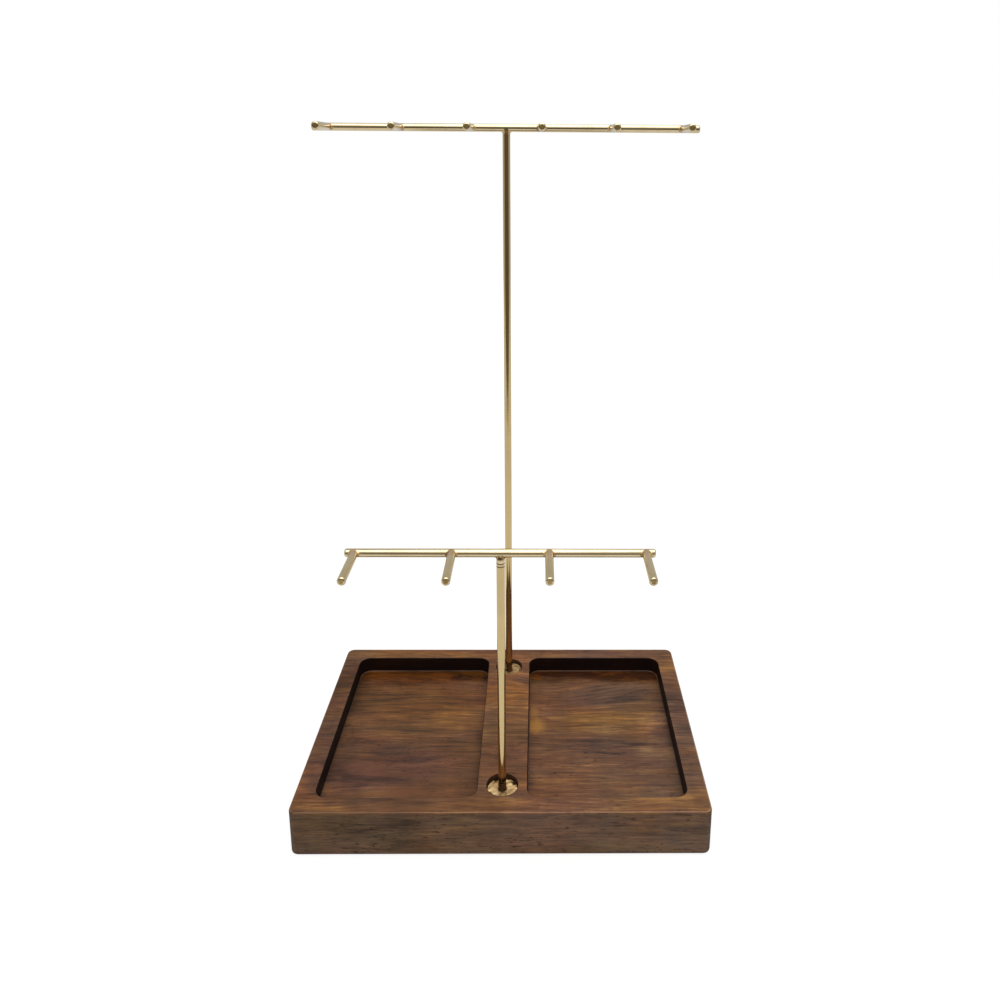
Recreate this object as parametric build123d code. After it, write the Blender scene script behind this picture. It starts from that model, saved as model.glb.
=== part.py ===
from build123d import *
import os

# Jewelry stand: a wooden base with two routed trays, and two brass T stands whose posts
# screw into tee-nuts sunk in the land between the trays.
# Sizes are in millimetres. +X is to the right, +Y to the back and +Z up.
# The origin is the centre of the base's underside.

# Base block
BASE_WIDTH = 203.2
BASE_DEPTH = 139.7
BASE_THICKNESS = 24.0
BASE_CORNER_RADIUS = 4.0
TOP_EDGE_RADIUS = 1.2
BOTTOM_EDGE_CHAMFER = 1.0

# Trays routed into the base, with a rim all round and a land between them
RIM_WIDTH = 10.2
LAND_WIDTH = 25.0
TRAY_DEPTH = 9.0
TRAY_CORNER_RADIUS = 6.35
TRAY_EDGE_CHAMFER = 0.6

# Rods: heights are above the surface that the base stands on
OVERALL_HEIGHT = 342.9
FRONT_BAR_HEIGHT = 149.5
POST_SPACING = 101.6
POST_DIAMETER = 4.0
BAR_DIAMETER = 4.0
PEG_DIAMETER = 4.0
REAR_BAR_LENGTH = 202.0
FRONT_BAR_LENGTH = 143.5
ROD_END_CHAMFER = 0.4
POST_TIP_CHAMFER = 0.6

# Pegs, evenly spaced between the outer ones, which stand in from the bar's ends
REAR_PEG_COUNT = 6
FRONT_PEG_COUNT = 4
REAR_PEG_INSET = 8.5
FRONT_PEG_INSET = 4.4
PEG_REACH = 28.0

# Brazed joints: the rod's end is cut to the bar's round, and a fillet fills each crotch
COPE_TRIM = 0.8
BRAZE_LEG = 1.0
BRAZE_SPAN = 0.85

# Tee-nuts
NUT_FLANGE_DIAMETER = 15.0
NUT_FLANGE_THICKNESS = 1.2
NUT_HEIGHT = 8.5
NUT_BARREL_WALL = 0.75
NUT_MOUTH_CHAMFER = 1.0
NUT_SINK = 2.2
NUT_NOTCH_DEPTH = 1.8
NUT_NOTCH_RELIEF = 0.3
PRONG_COUNT = 4
PRONG_WIDTH = 3.0
PRONG_LENGTH = 6.0
PRONG_SHOULDER = 3.0
FRONT_NUT_TURN = 30.0
REAR_NUT_TURN = -8.0

# Fits
THREAD_CLEARANCE = 0.05
BARREL_CLEARANCE = 0.1
COUNTERBORE_CLEARANCE = 0.5
POST_TIP_RECESS = 1.0
HOLE_RUNOUT = 1.5

# Places and sizes that follow from the ones above
TRAY_WIDTH = (BASE_WIDTH - LAND_WIDTH) / 2 - RIM_WIDTH
TRAY_LENGTH = BASE_DEPTH - 2 * RIM_WIDTH
TRAY_CENTRE_X = (LAND_WIDTH + TRAY_WIDTH) / 2
REAR_POST_Y = POST_SPACING / 2
FRONT_POST_Y = -POST_SPACING / 2
REAR_BAR_HEIGHT = OVERALL_HEIGHT - BAR_DIAMETER / 2
BORE_RADIUS = POST_DIAMETER / 2 + THREAD_CLEARANCE
BARREL_RADIUS = BORE_RADIUS + NUT_BARREL_WALL
FLANGE_RADIUS = NUT_FLANGE_DIAMETER / 2
NUT_TOP = BASE_THICKNESS - NUT_SINK
POST_TIP = NUT_TOP - NUT_HEIGHT + POST_TIP_RECESS
JOINT_SPAN = 2 * (max(POST_DIAMETER, PEG_DIAMETER) + BAR_DIAMETER + BRAZE_LEG)
REAR_NUT_PLACE = Pos(0, REAR_POST_Y, NUT_TOP) * Rot(0, 0, REAR_NUT_TURN)
FRONT_NUT_PLACE = Pos(0, FRONT_POST_Y, NUT_TOP) * Rot(0, 0, FRONT_NUT_TURN)
HANGING_TO_FORWARD = Rot(-90, 0, 0)
UPWARD = (Align.CENTER, Align.CENTER, Align.MIN)
DOWNWARD = (Align.CENTER, Align.CENTER, Align.MAX)


def make_prong():
    """One prong on the +X side of a tee-nut: a tab bent down out of the flange, cut to a point."""
    outer = FLANGE_RADIUS - NUT_NOTCH_DEPTH
    inner = outer - NUT_FLANGE_THICKNESS
    tab = Polyline(
        (inner, 0),
        (inner, -PRONG_LENGTH),
        (outer, -PRONG_LENGTH),
        (outer, -NUT_FLANGE_THICKNESS),
    )
    bend = CenterArc((inner, -NUT_FLANGE_THICKNESS), NUT_FLANGE_THICKNESS, 0, 90)
    side = extrude(Plane.XZ * make_face([tab, bend]), PRONG_WIDTH / 2, both=True)
    point = Polyline(
        (-PRONG_WIDTH / 2, 0),
        (PRONG_WIDTH / 2, 0),
        (PRONG_WIDTH / 2, -PRONG_SHOULDER),
        (0, -PRONG_LENGTH),
        (-PRONG_WIDTH / 2, -PRONG_SHOULDER),
        close=True,
    )
    return side & extrude(Plane.YZ * make_face(point), FLANGE_RADIUS)


def make_prongs():
    """All prongs of one tee-nut, spaced evenly round it."""
    prong = make_prong()
    return [Rot(0, 0, 360 * step / PRONG_COUNT) * prong for step in range(PRONG_COUNT)]


def make_tee_nut():
    """Tee-nut with its flange's top on Z = 0: a drawn barrel with a flared mouth, and prongs."""
    wall = Polyline(
        (BORE_RADIUS, -NUT_MOUTH_CHAMFER),
        (BORE_RADIUS, -NUT_HEIGHT),
        (BARREL_RADIUS, -NUT_HEIGHT),
        (BARREL_RADIUS, -NUT_FLANGE_THICKNESS),
        (FLANGE_RADIUS, -NUT_FLANGE_THICKNESS),
        (FLANGE_RADIUS, 0),
        (BORE_RADIUS + NUT_MOUTH_CHAMFER, 0),
        close=True,
    )
    nut = revolve(Plane.XZ * make_face(wall), Axis.Z)

    notch_start = FLANGE_RADIUS - NUT_NOTCH_DEPTH - NUT_FLANGE_THICKNESS
    notch = Pos(notch_start, 0, 0) * Box(
        NUT_FLANGE_DIAMETER,
        PRONG_WIDTH + 2 * NUT_NOTCH_RELIEF,
        NUT_FLANGE_THICKNESS,
        align=(Align.MIN, Align.CENTER, Align.MAX),
    )
    for step, prong in enumerate(make_prongs()):
        nut -= Rot(0, 0, 360 * step / PRONG_COUNT) * notch
        nut += prong
    return nut


def nut_seat():
    """What is cut from the base for one tee-nut, placed as make_tee_nut places the nut."""
    counterbore_radius = FLANGE_RADIUS + COUNTERBORE_CLEARANCE
    counterbore = Pos(0, 0, -NUT_FLANGE_THICKNESS) * Cylinder(
        counterbore_radius, NUT_FLANGE_THICKNESS + NUT_SINK, align=UPWARD
    )
    hole = Cylinder(BARREL_RADIUS + BARREL_CLEARANCE, NUT_HEIGHT + HOLE_RUNOUT, align=DOWNWARD)
    return [counterbore, hole] + make_prongs()


def make_base_block():
    """The wooden block: rounded edges, two trays, and a seat for each tee-nut in the land."""
    outline = RectangleRounded(BASE_WIDTH, BASE_DEPTH, BASE_CORNER_RADIUS)
    block = extrude(outline, BASE_THICKNESS)
    block = fillet(block.faces().sort_by(Axis.Z)[-1].edges(), TOP_EDGE_RADIUS)
    block = chamfer(block.faces().sort_by(Axis.Z)[0].edges(), BOTTOM_EDGE_CHAMFER)

    tray = extrude(RectangleRounded(TRAY_WIDTH, TRAY_LENGTH, TRAY_CORNER_RADIUS), TRAY_DEPTH)
    for side in (-1, 1):
        block -= Pos(side * TRAY_CENTRE_X, 0, BASE_THICKNESS - TRAY_DEPTH) * tray
    tray_mouths = block.faces().sort_by(Axis.Z)[-1].inner_wires()
    block = chamfer([edge for mouth in tray_mouths for edge in mouth.edges()], TRAY_EDGE_CHAMFER)

    for place in (REAR_NUT_PLACE, FRONT_NUT_PLACE):
        for cut in nut_seat():
            block -= place * cut
    return block


def bar_along_x(length):
    """A plain round bar along X, centred on the origin, with its seam on top."""
    return Rot(0, -90, 0) * Cylinder(BAR_DIAMETER / 2, length)


def rod_down(diameter, length):
    """A plain round rod from the origin down, with its seam clear of the crotches under a bar."""
    return Rot(0, 0, 90) * Cylinder(diameter / 2, length, align=DOWNWARD)


def make_crossbar(length):
    """Round bar along X with softened ends, centred on the origin."""
    bar = bar_along_x(length)
    ends = bar.faces().filter_by(GeomType.PLANE)
    return chamfer([edge for end in ends for edge in end.edges()], ROD_END_CHAMFER)


def hanging_rod(diameter, reach):
    """Rod that hangs from a bar through the origin down to Z = -reach, its root coped to the bar."""
    rod = Pos(0, 0, -COPE_TRIM) * rod_down(diameter, reach - COPE_TRIM)
    return rod - bar_along_x(JOINT_SPAN)


def make_post(reach):
    """Post that hangs from its bar, with a chamfer that leads its threaded foot into the nut."""
    rod = hanging_rod(POST_DIAMETER, reach)
    return chamfer(rod.edges().sort_by(Axis.Z)[0], POST_TIP_CHAMFER)


def make_peg():
    """Peg that points forward from its bar, with a softened free end."""
    rod = hanging_rod(PEG_DIAMETER, PEG_REACH)
    return HANGING_TO_FORWARD * chamfer(rod.edges().sort_by(Axis.Z)[0], ROD_END_CHAMFER)


def make_braze(rod_diameter):
    """Two braze fillets for a rod that hangs from a bar through the origin, one in each crotch.

    Each fillet is a prism with an elliptical face, at 45 degrees across the crotch, so that it
    thins out where the two rods meet flush.
    """
    rod_radius = rod_diameter / 2
    bar_radius = BAR_DIAMETER / 2
    crotch = Plane((0, 0, 0), x_dir=(1, 0, -1), z_dir=(1, 0, 1))
    reach = (rod_radius + bar_radius + BRAZE_LEG) / 2**0.5
    half_width = min(rod_radius, bar_radius)
    oval = Ellipse(reach, half_width, rotation=180)
    face = oval & Pos(reach / 2, 0) * Rectangle(reach, 2 * BRAZE_SPAN * half_width)
    prism = extrude(crotch * face, BRAZE_LEG, both=True)
    right = prism - rod_down(rod_diameter, JOINT_SPAN) - bar_along_x(JOINT_SPAN)
    return [right, mirror(right, about=Plane.YZ)]


def peg_places(count, bar_length, inset):
    """X of each peg along its bar, from left to right."""
    spacing = (bar_length - 2 * inset) / (count - 1)
    return [inset - bar_length / 2 + spacing * step for step in range(count)]


def make_stand(name, post_y, bar_height, bar_length, peg_count, peg_inset):
    """The pieces of one T stand, by node name."""
    bar_place = Pos(0, post_y, bar_height)
    post_braze = [bar_place * bead for bead in make_braze(POST_DIAMETER)]
    peg = make_peg()
    peg_beads = [HANGING_TO_FORWARD * bead for bead in make_braze(PEG_DIAMETER)]
    pieces = {
        f"{name}_post": bar_place * make_post(bar_height - POST_TIP),
        f"{name}_crossbar": bar_place * make_crossbar(bar_length),
        f"{name}_post_braze": Compound(post_braze),
    }
    peg_braze = []
    for number, peg_x in enumerate(peg_places(peg_count, bar_length, peg_inset), start=1):
        peg_place = bar_place * Pos(peg_x, 0, 0)
        pieces[f"{name}_peg_{number}"] = peg_place * peg
        peg_braze += [peg_place * bead for bead in peg_beads]
    pieces[f"{name}_peg_braze"] = Compound(peg_braze)
    return pieces


tee_nut = make_tee_nut()
nodes = {
    "base_block": make_base_block(),
    "rear_tee_nut": REAR_NUT_PLACE * tee_nut,
    "front_tee_nut": FRONT_NUT_PLACE * tee_nut,
}
nodes |= make_stand(
    "rear", REAR_POST_Y, REAR_BAR_HEIGHT, REAR_BAR_LENGTH, REAR_PEG_COUNT, REAR_PEG_INSET
)
nodes |= make_stand(
    "front", FRONT_POST_Y, FRONT_BAR_HEIGHT, FRONT_BAR_LENGTH, FRONT_PEG_COUNT, FRONT_PEG_INSET
)

os.makedirs("parts", exist_ok=True)
for node, shape in nodes.items():
    export_step(shape, f"parts/{node}.step")
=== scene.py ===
"""Dresses a jewelry stand: a wooden base with two routed trays, and two brass T racks.

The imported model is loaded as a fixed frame. Each operator makes one piece or one group of like
pieces round it, and main() runs them in order.
"""

import math

import bmesh
import bpy
from bpy.props import FloatProperty, FloatVectorProperty, IntProperty, PointerProperty
from mathutils import Matrix, Vector, noise


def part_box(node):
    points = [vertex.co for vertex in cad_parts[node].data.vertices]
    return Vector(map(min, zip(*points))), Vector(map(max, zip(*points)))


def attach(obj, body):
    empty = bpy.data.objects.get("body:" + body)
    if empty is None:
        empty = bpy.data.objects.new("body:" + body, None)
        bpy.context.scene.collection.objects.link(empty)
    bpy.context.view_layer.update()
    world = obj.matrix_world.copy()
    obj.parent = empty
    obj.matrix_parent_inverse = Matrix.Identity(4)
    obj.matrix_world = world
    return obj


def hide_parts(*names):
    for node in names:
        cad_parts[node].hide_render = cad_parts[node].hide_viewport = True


bl_info = {
    "name": "Jewelry Stand",
    "version": (1, 0, 0),
    "blender": (4, 5, 0),
    "location": "View3D > Sidebar > Jewelry Stand",
    "description": "Dresses a wooden jewelry stand with two brass T racks",
    "category": "Object",
}

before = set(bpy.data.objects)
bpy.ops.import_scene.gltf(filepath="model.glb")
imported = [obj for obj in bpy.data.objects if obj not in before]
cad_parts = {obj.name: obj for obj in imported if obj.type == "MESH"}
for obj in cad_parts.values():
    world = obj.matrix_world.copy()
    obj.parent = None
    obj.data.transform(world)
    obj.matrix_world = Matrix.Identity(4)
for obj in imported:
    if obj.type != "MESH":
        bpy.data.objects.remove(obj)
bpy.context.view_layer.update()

RACKS = ("rear", "front")
WHITE = (1.0, 1.0, 1.0, 1.0)

# Points that are nearer than this, in metres, are one point
MERGE = 1e-6

# The materials' patterns are drawn in millimetres, and a reach of EVERYWHERE has no end
MILLIMETRES = 1000.0
EVERYWHERE = 1e5

# Turns that lay an upright rod across the stand, and that point a hanging one forward
SIDEWAYS = Matrix.Rotation(math.radians(90), 4, "Y")
FORWARD = Matrix.Rotation(math.radians(-90), 4, "X")

# Angles past which an edge looks sharp
WOOD_CREASE = math.radians(50)
FLANGE_CREASE = math.radians(35)
ROD_CREASE = math.radians(25)
BRAZE_CREASE = math.radians(60)


# Settings


def length(name, description, metres):
    """A length that the user may change."""
    return FloatProperty(
        name=name,
        description=description,
        default=metres,
        min=0.0,
        precision=5,
        subtype="DISTANCE",
        unit="LENGTH",
    )


def angle(name, description, degrees):
    """An angle that the user may change."""
    return FloatProperty(
        name=name,
        description=description,
        default=math.radians(degrees),
        subtype="ANGLE",
        unit="ROTATION",
    )


def point(name, description, metres):
    """A place that the user may change."""
    return FloatVectorProperty(
        name=name, description=description, default=metres, subtype="TRANSLATION", unit="LENGTH"
    )


def tone(red, green, blue):
    """Linear colour for a screen colour given in steps of 0 to 255."""
    shares = [step / 255.0 for step in (red, green, blue)]
    return [s / 12.92 if s <= 0.04045 else ((s + 0.055) / 1.055) ** 2.4 for s in shares]


def colour(name, description, red, green, blue):
    """A colour that the user may change."""
    return FloatVectorProperty(
        name=name,
        description=description,
        default=(*tone(red, green, blue), 1.0),
        size=4,
        min=0.0,
        max=1.0,
        subtype="COLOR",
    )


class BaseSettings(bpy.types.PropertyGroup):
    """Sizes and colours of the wooden base."""

    rim_width: length("Rim Width", "Width of the rim round the trays", 0.0102)
    land_width: length("Land Width", "Width of the land between the trays", 0.025)
    tray_depth: length("Tray Depth", "Depth of the trays", 0.009)
    tray_corner: length("Tray Corner", "Radius of the trays' corners", 0.00635)
    corner_radius: length("Corner Radius", "Radius of the base's upright corners", 0.004)
    top_edge: length("Top Edge", "Rounding of the top's outer edge", 0.0012)
    bottom_edge: length("Bottom Edge", "Rounding of the underside's edge", 0.001)
    tray_edge: length("Tray Edge", "Rounding of the trays' mouths", 0.0006)
    floor_edge: length("Floor Edge", "Rounding where the trays' walls meet their floors", 0.0007)
    seat_radius: length("Seat Radius", "Radius of the counterbores for the tee-nuts", 0.008)
    hole_radius: length("Hole Radius", "Radius of the holes under the tee-nuts", 0.0029)
    hole_depth: length("Hole Depth", "Depth of the holes under the seats", 0.0088)
    # Reach of the painted shadow that the back walls cast on the tray floors
    stain_reach: length("Stain Reach", "How far the stain pooled out from the back walls", 0.0145)
    deep: colour("Deep", "Darkest wood", 60, 43, 35)
    brown: colour("Brown", "Main wood", 101, 70, 51)
    amber: colour("Amber", "Lightest wood", 148, 107, 68)
    # The sides' tones are the top's made darker and greyer, painted shade and sheen of the upright
    # faces; their pores and sawn ends are their own
    side_deep: colour("Side Deep", "Darkest tone of the base's sides", 49, 36, 29)
    side_brown: colour("Side Brown", "Main tone of the base's sides", 90, 70, 57)
    side_amber: colour("Side Amber", "Lightest tone of the base's sides", 121, 93, 69)
    # Lighter tones of one band of the rounded top edge: a painted highlight
    worn_deep: colour("Worn Deep", "Darkest tone of the worn edges", 84, 60, 46)
    worn_brown: colour("Worn Brown", "Main tone of the worn edges", 142, 112, 90)
    worn_amber: colour("Worn Amber", "Lightest tone of the worn edges", 164, 136, 110)
    # Greyer tones of the coves round the tray floors: a painted sheen along the foot of the walls
    cove_deep: colour("Cove Deep", "Darkest tone of the coves round the tray floors", 54, 39, 31)
    cove_brown: colour("Cove Brown", "Main tone of the coves", 80, 59, 47)
    cove_amber: colour("Cove Amber", "Lightest tone of the coves", 116, 90, 70)
    # Near-black tones of the trays' walls: partly router burn and stain, partly painted shade in the
    # deep trays
    wall_deep: colour("Wall Deep", "Darkest tone of the routed walls", 12, 7, 6)
    wall_brown: colour("Wall Brown", "Main tone of the routed walls", 26, 13, 10)
    wall_amber: colour("Wall Amber", "Lightest tone of the routed walls", 38, 20, 13)
    sawn: colour("Sawn", "Tone of the sawn ends", 72, 48, 35)
    # Tint of the painted shadow that the back walls cast on the tray floors
    stain: colour("Stain", "Finish that pooled along the trays' back walls", 222, 184, 84)
    resin: colour("Resin", "Spots of resin in the right tray", 164, 116, 54)
    # Dims the painted highlight of the top edge along its left part
    dulled: colour("Dulled", "Worn edge that handling has darkened again", 108, 80, 64)


class NutSettings(bpy.types.PropertyGroup):
    """Sizes and colours of the tee-nuts."""

    flange_thickness: length("Flange Thickness", "Thickness of the flange", 0.0012)
    rim_gap: length("Rim Gap", "Gap between the flange and the wall of its seat", 0.0005)
    bore_radius: length("Bore Radius", "Radius of the threaded bore", 0.00205)
    barrel_radius: length("Barrel Radius", "Outer radius of the barrel", 0.0028)
    mouth_radius: length("Mouth Radius", "Radius where the flared mouth meets the flange", 0.0024)
    notch_radius: length("Notch Radius", "Radius that the notches are cut in to", 0.0054)
    notch_width: length("Notch Width", "Width of the notches at the rim", 0.0026)
    prong_width: length("Prong Width", "Width of the prongs", 0.0022)
    prong_length: length("Prong Length", "Length of the prongs below the flange's top", 0.006)
    prong_shoulder: length("Prong Shoulder", "Depth at which the prongs start to taper", 0.003)
    prongs: IntProperty(name="Prongs", description="Number of prongs", default=4, min=2)
    front_turn: angle("Front Turn", "How far round the front nut was driven", 30)
    rear_turn: angle("Rear Turn", "How far round the rear nut was driven", -8)
    crumple: length("Crumple", "How far the hammer dented the flange", 0.00022)
    gold: colour("Gold", "Plating", 250, 214, 156)
    worn: colour("Worn", "Plating where it is worn", 150, 108, 68)


class RackSettings(bpy.types.PropertyGroup):
    """Sizes and colours of the brass racks."""

    end_round: length("End Round", "Rounding of the rods' free ends", 0.0009)
    foot_round: length("Foot Round", "Rounding of the posts' feet", 0.0004)
    thread_pitch: length("Thread Pitch", "Pitch of the thread on the posts' feet", 0.0007)
    thread_depth: length("Thread Depth", "Depth of the thread", 0.0004)
    thread_length: length("Thread Length", "Length of the thread on the posts' feet", 0.0121)
    mark_depth: length("Mark Depth", "Depth of the file marks below the front joint", 0.00015)
    mark_width: length("Mark Width", "Width of each file mark", 0.0004)
    braze_leg: length("Braze Leg", "Leg of the braze fillets", 0.001)
    brass: colour("Brass", "Polished brass", 218, 200, 162)
    # A deeper, warmer copy of the brass for the posts, a painted reflection that sets them apart from
    # the bars
    post: colour("Post", "Brass of the posts", 212, 188, 138)
    cut: colour("Cut Brass", "Brass where the rods were cut off", 188, 162, 108)
    tarnish: colour("Tarnish", "Brass where it has dulled", 200, 178, 134)
    filler: colour("Filler", "Braze metal", 218, 192, 144)
    scale: colour("Scale", "Scorch on the braze", 120, 84, 44)
    # Dark metal of the threaded feet and the file marks; in the marks it is painted shade in the
    # grooves
    thread: colour("Thread", "Bare metal of the threads and file marks", 50, 30, 20)
    heated: colour("Heated", "Brass that heat has tinted", 212, 174, 138)
    # Painted shade in the crotch of the front T joint
    scorched: colour("Scorched", "Brass that the torch has scorched", 74, 46, 18)
    # Pale collar below the front joint, and a painted highlight under the rear bar
    scraped: colour("Scraped", "Brass that was scraped clean after brazing", 244, 222, 192)


class StageSettings(bpy.types.PropertyGroup):
    """Camera, table and light."""

    camera_place: point("Camera Place", "Where the camera stands", (0.017, -0.4175, 0.33))
    camera_pitch: angle("Camera Pitch", "How far the camera looks down", 14.27)
    camera_yaw: angle("Camera Yaw", "How far the camera looks to the right", 0.713)
    camera_roll: angle("Camera Roll", "How far the camera leans", 0.39)
    focal: FloatProperty(
        name="Focal Length",
        description="Focal length as a share of the picture's width",
        default=0.8658,
        min=0.0,
        max=1.0,
        subtype="FACTOR",
    )
    shift: FloatVectorProperty(
        name="Shift", description="Camera shift", default=(-0.0485, -0.13), size=2
    )
    lamp_place: point("Lamp Place", "Where the softbox hangs", (0.06, -0.25, 1.3))
    lamp_target: point("Lamp Target", "What the softbox points at", (0.0, -0.2, 0.05))
    lamp_width: length("Lamp Width", "Width of the softbox", 1.8)
    lamp_height: length("Lamp Height", "Height of the softbox", 1.3)
    lamp_power: FloatProperty(
        name="Lamp Power",
        description="Power of the softbox",
        default=15.5,
        min=0.0,
        subtype="POWER",
        unit="POWER",
    )
    table: colour("Table", "Table top", 244, 243, 240)
    room: colour("Room", "Unlit room behind the camera", 132, 122, 106)


# Meshes


def turn(bm, points, start=0.0, sweep=math.tau, steps=40, rise=0.0):
    """Spins points (radius, height) about Z, and lifts them by the rise at each step."""
    verts = [bm.verts.new((radius, 0.0, height)) for radius, height in points]
    edges = [bm.edges.new(pair) for pair in zip(verts, verts[1:])]
    bmesh.ops.rotate(bm, verts=verts, cent=(0, 0, 0), matrix=Matrix.Rotation(start, 3, "Z"))
    bmesh.ops.spin(
        bm,
        geom=verts + edges,
        cent=(0, 0, 0),
        axis=(0, 0, 1),
        dvec=(0, 0, rise),
        angle=sweep,
        steps=steps,
        use_merge=abs(sweep - math.tau) < MERGE,
        use_duplicate=False,
    )


def close(bm):
    """Merges doubles, fills what is open and points the faces outwards."""
    bmesh.ops.remove_doubles(bm, verts=bm.verts, dist=MERGE)
    open_edges = [edge for edge in bm.edges if edge.is_boundary]
    if open_edges:
        bmesh.ops.holes_fill(bm, edges=open_edges, sides=0)
    bmesh.ops.recalc_face_normals(bm, faces=bm.faces)


def with_borders(faces):
    """Faces with their edges and vertices."""
    geom = set(faces)
    for face in faces:
        geom.update(face.edges)
        geom.update(face.verts)
    return list(geom)


def ring_edges(verts):
    """Edges between the given vertices."""
    chosen = set(verts)
    edges = {edge for vert in verts for edge in vert.link_edges}
    return [edge for edge in edges if chosen.issuperset(edge.verts)]


def soften(bm, edges, offset, segments):
    """Rounds edges."""
    bmesh.ops.bevel(
        bm,
        geom=edges,
        offset=offset,
        offset_type="OFFSET",
        affect="EDGES",
        segments=segments,
        profile=0.5,
        material=-1,
    )


def new_object(name, data):
    """A new object in the scene."""
    made = bpy.data.objects.new(name, data)
    bpy.context.scene.collection.objects.link(made)
    return made


def new_mesh(bm, name, materials):
    """A mesh with its materials, made from a finished bmesh that is then freed."""
    mesh = bpy.data.meshes.new(name)
    bm.to_mesh(mesh)
    bm.free()
    for material in materials:
        mesh.materials.append(material)
    return mesh


def finish_piece(bm, name, body, node, materials, crease):
    """Makes the object of a finished mesh, which rides on a body and replaces a CAD node."""
    mesh = new_mesh(bm, name, materials)
    mesh.shade_smooth()
    mesh.set_sharp_from_angle(angle=crease)
    piece = new_object(name, mesh)
    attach(piece, body)
    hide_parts(node)
    return piece


# Nodes

VECTOR, COLOR, FLOAT = "NodeSocketVector", "NodeSocketColor", "NodeSocketFloat"

# How far the materials' fine relief stands out, in metres
RELIEF = 0.0002


def feed(tree, node, inputs):
    """Links or sets a node's inputs."""
    for key, value in inputs.items():
        if isinstance(value, bpy.types.NodeSocket):
            tree.links.new(value, node.inputs[key])
        else:
            node.inputs[key].default_value = value


def add(tree, kind, inputs=None, **settings):
    """Adds a node, sets its settings, and links or sets its inputs."""
    node = tree.nodes.new(kind)
    for name, value in settings.items():
        setattr(node, name, value)
    feed(tree, node, inputs or {})
    return node


def maths(tree, operation, first, second=0.0, third=0.0):
    """Output of a Math node."""
    inputs = {0: first, 1: second, 2: third}
    return add(tree, "ShaderNodeMath", inputs, operation=operation).outputs[0]


def vector_maths(tree, operation, *values):
    """Output of a Vector Math node."""
    node = add(tree, "ShaderNodeVectorMath", dict(enumerate(values)), operation=operation)
    return node.outputs["Value" if operation == "LENGTH" else "Vector"]


def parts(tree, vector):
    """The X, Y and Z of a vector."""
    return add(tree, "ShaderNodeSeparateXYZ", {0: vector}).outputs


def scaled(tree, vector, scale):
    """A vector with its own scale along each axis."""
    return add(tree, "ShaderNodeMapping", {"Vector": vector, "Scale": scale}).outputs[0]


def in_millimetres(tree, vector):
    """A vector in metres turned into millimetres."""
    return scaled(tree, vector, (MILLIMETRES, MILLIMETRES, MILLIMETRES))


def mapped(tree, value, low, high, to_low=0.0, to_high=1.0):
    """Output of a clamped smooth Map Range node."""
    inputs = {"Value": value, "From Min": low, "From Max": high, "To Min": to_low, "To Max": to_high}
    node = add(tree, "ShaderNodeMapRange", inputs, interpolation_type="SMOOTHSTEP")
    return node.outputs["Result"]


def mixed(tree, factor, first, second, blend="MIX"):
    """Output of a colour Mix node."""
    inputs = {"Factor": factor, 6: first, 7: second}
    return add(tree, "ShaderNodeMix", inputs, data_type="RGBA", blend_type=blend).outputs[2]


def times(tree, first, second):
    """Product of two colours."""
    return mixed(tree, 1.0, first, second, "MULTIPLY")


def grey(tree, value):
    """Grey of a value."""
    return add(tree, "ShaderNodeCombineColor", {0: value, 1: value, 2: value}).outputs[0]


def stretched_noise(tree, vector, scale, detail, roughness=0.5):
    """Noise with its own scale along each axis."""
    place = scaled(tree, vector, scale)
    inputs = {"Vector": place, "Scale": 1.0, "Detail": detail, "Roughness": roughness}
    return add(tree, "ShaderNodeTexNoise", inputs).outputs["Fac"]


def noise_set(tree, vector, table):
    """Noises of a table by their names."""
    return {name: stretched_noise(tree, vector, *values) for name, values in table.items()}


def patch(tree, place, centre, reach):
    """Mask of a soft oval: 1 out to a fifth of its reach, and 0 at its reach."""
    inputs = {"Vector": place, "Location": centre, "Scale": reach}
    inside = add(tree, "ShaderNodeMapping", inputs, vector_type="TEXTURE").outputs[0]
    return mapped(tree, vector_maths(tree, "LENGTH", inside), 1.0, 0.2)


def oval(tree, place, centre, reach):
    """Mask of a soft oval on the plank that goes all the way down through it."""
    return patch(tree, place, (*centre, 0.0), (*reach, EVERYWHERE))


def ragged(tree, place, scale, push):
    """The place pushed about by noise, so that what is drawn with it has an uneven edge."""
    inputs = {"Vector": scaled(tree, place, scale), "Scale": 1.0, "Detail": 3.0}
    way = add(tree, "ShaderNodeTexNoise", inputs).outputs["Color"]
    way = vector_maths(tree, "SUBTRACT", way, (0.5, 0.5, 0.5))
    return vector_maths(tree, "MULTIPLY_ADD", way, push, place)


def bumped(tree, height, strength):
    """Normal of a surface with fine relief."""
    inputs = {"Height": height, "Strength": strength, "Distance": RELIEF}
    return add(tree, "ShaderNodeBump", inputs).outputs[0]


def blended(tree, factor, first, second):
    """Mix of two shader nodes."""
    inputs = {0: factor, 1: first.outputs[0], 2: second.outputs[0]}
    return add(tree, "ShaderNodeMixShader", inputs)


def new_group(name, inputs, outputs):
    """A node group with named sockets, what it is given, and the node for its results."""
    group = bpy.data.node_groups.new(name, "ShaderNodeTree")
    for socket, kind in inputs.items():
        group.interface.new_socket(socket, in_out="INPUT", socket_type=kind)
    for socket, kind in outputs.items():
        group.interface.new_socket(socket, in_out="OUTPUT", socket_type=kind)
    return group, group.nodes.new("NodeGroupInput").outputs, group.nodes.new("NodeGroupOutput")


def place_group(tree, make, inputs):
    """Outputs of a node group, which is made on first use and is named as what makes it."""
    group = bpy.data.node_groups.get(make.__name__) or make()
    return add(tree, "ShaderNodeGroup", inputs, node_tree=group).outputs


def clean_tree(owner):
    """Empty node tree of a material or a world."""
    owner.use_nodes = True
    owner.node_tree.nodes.clear()
    return owner.node_tree


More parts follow.
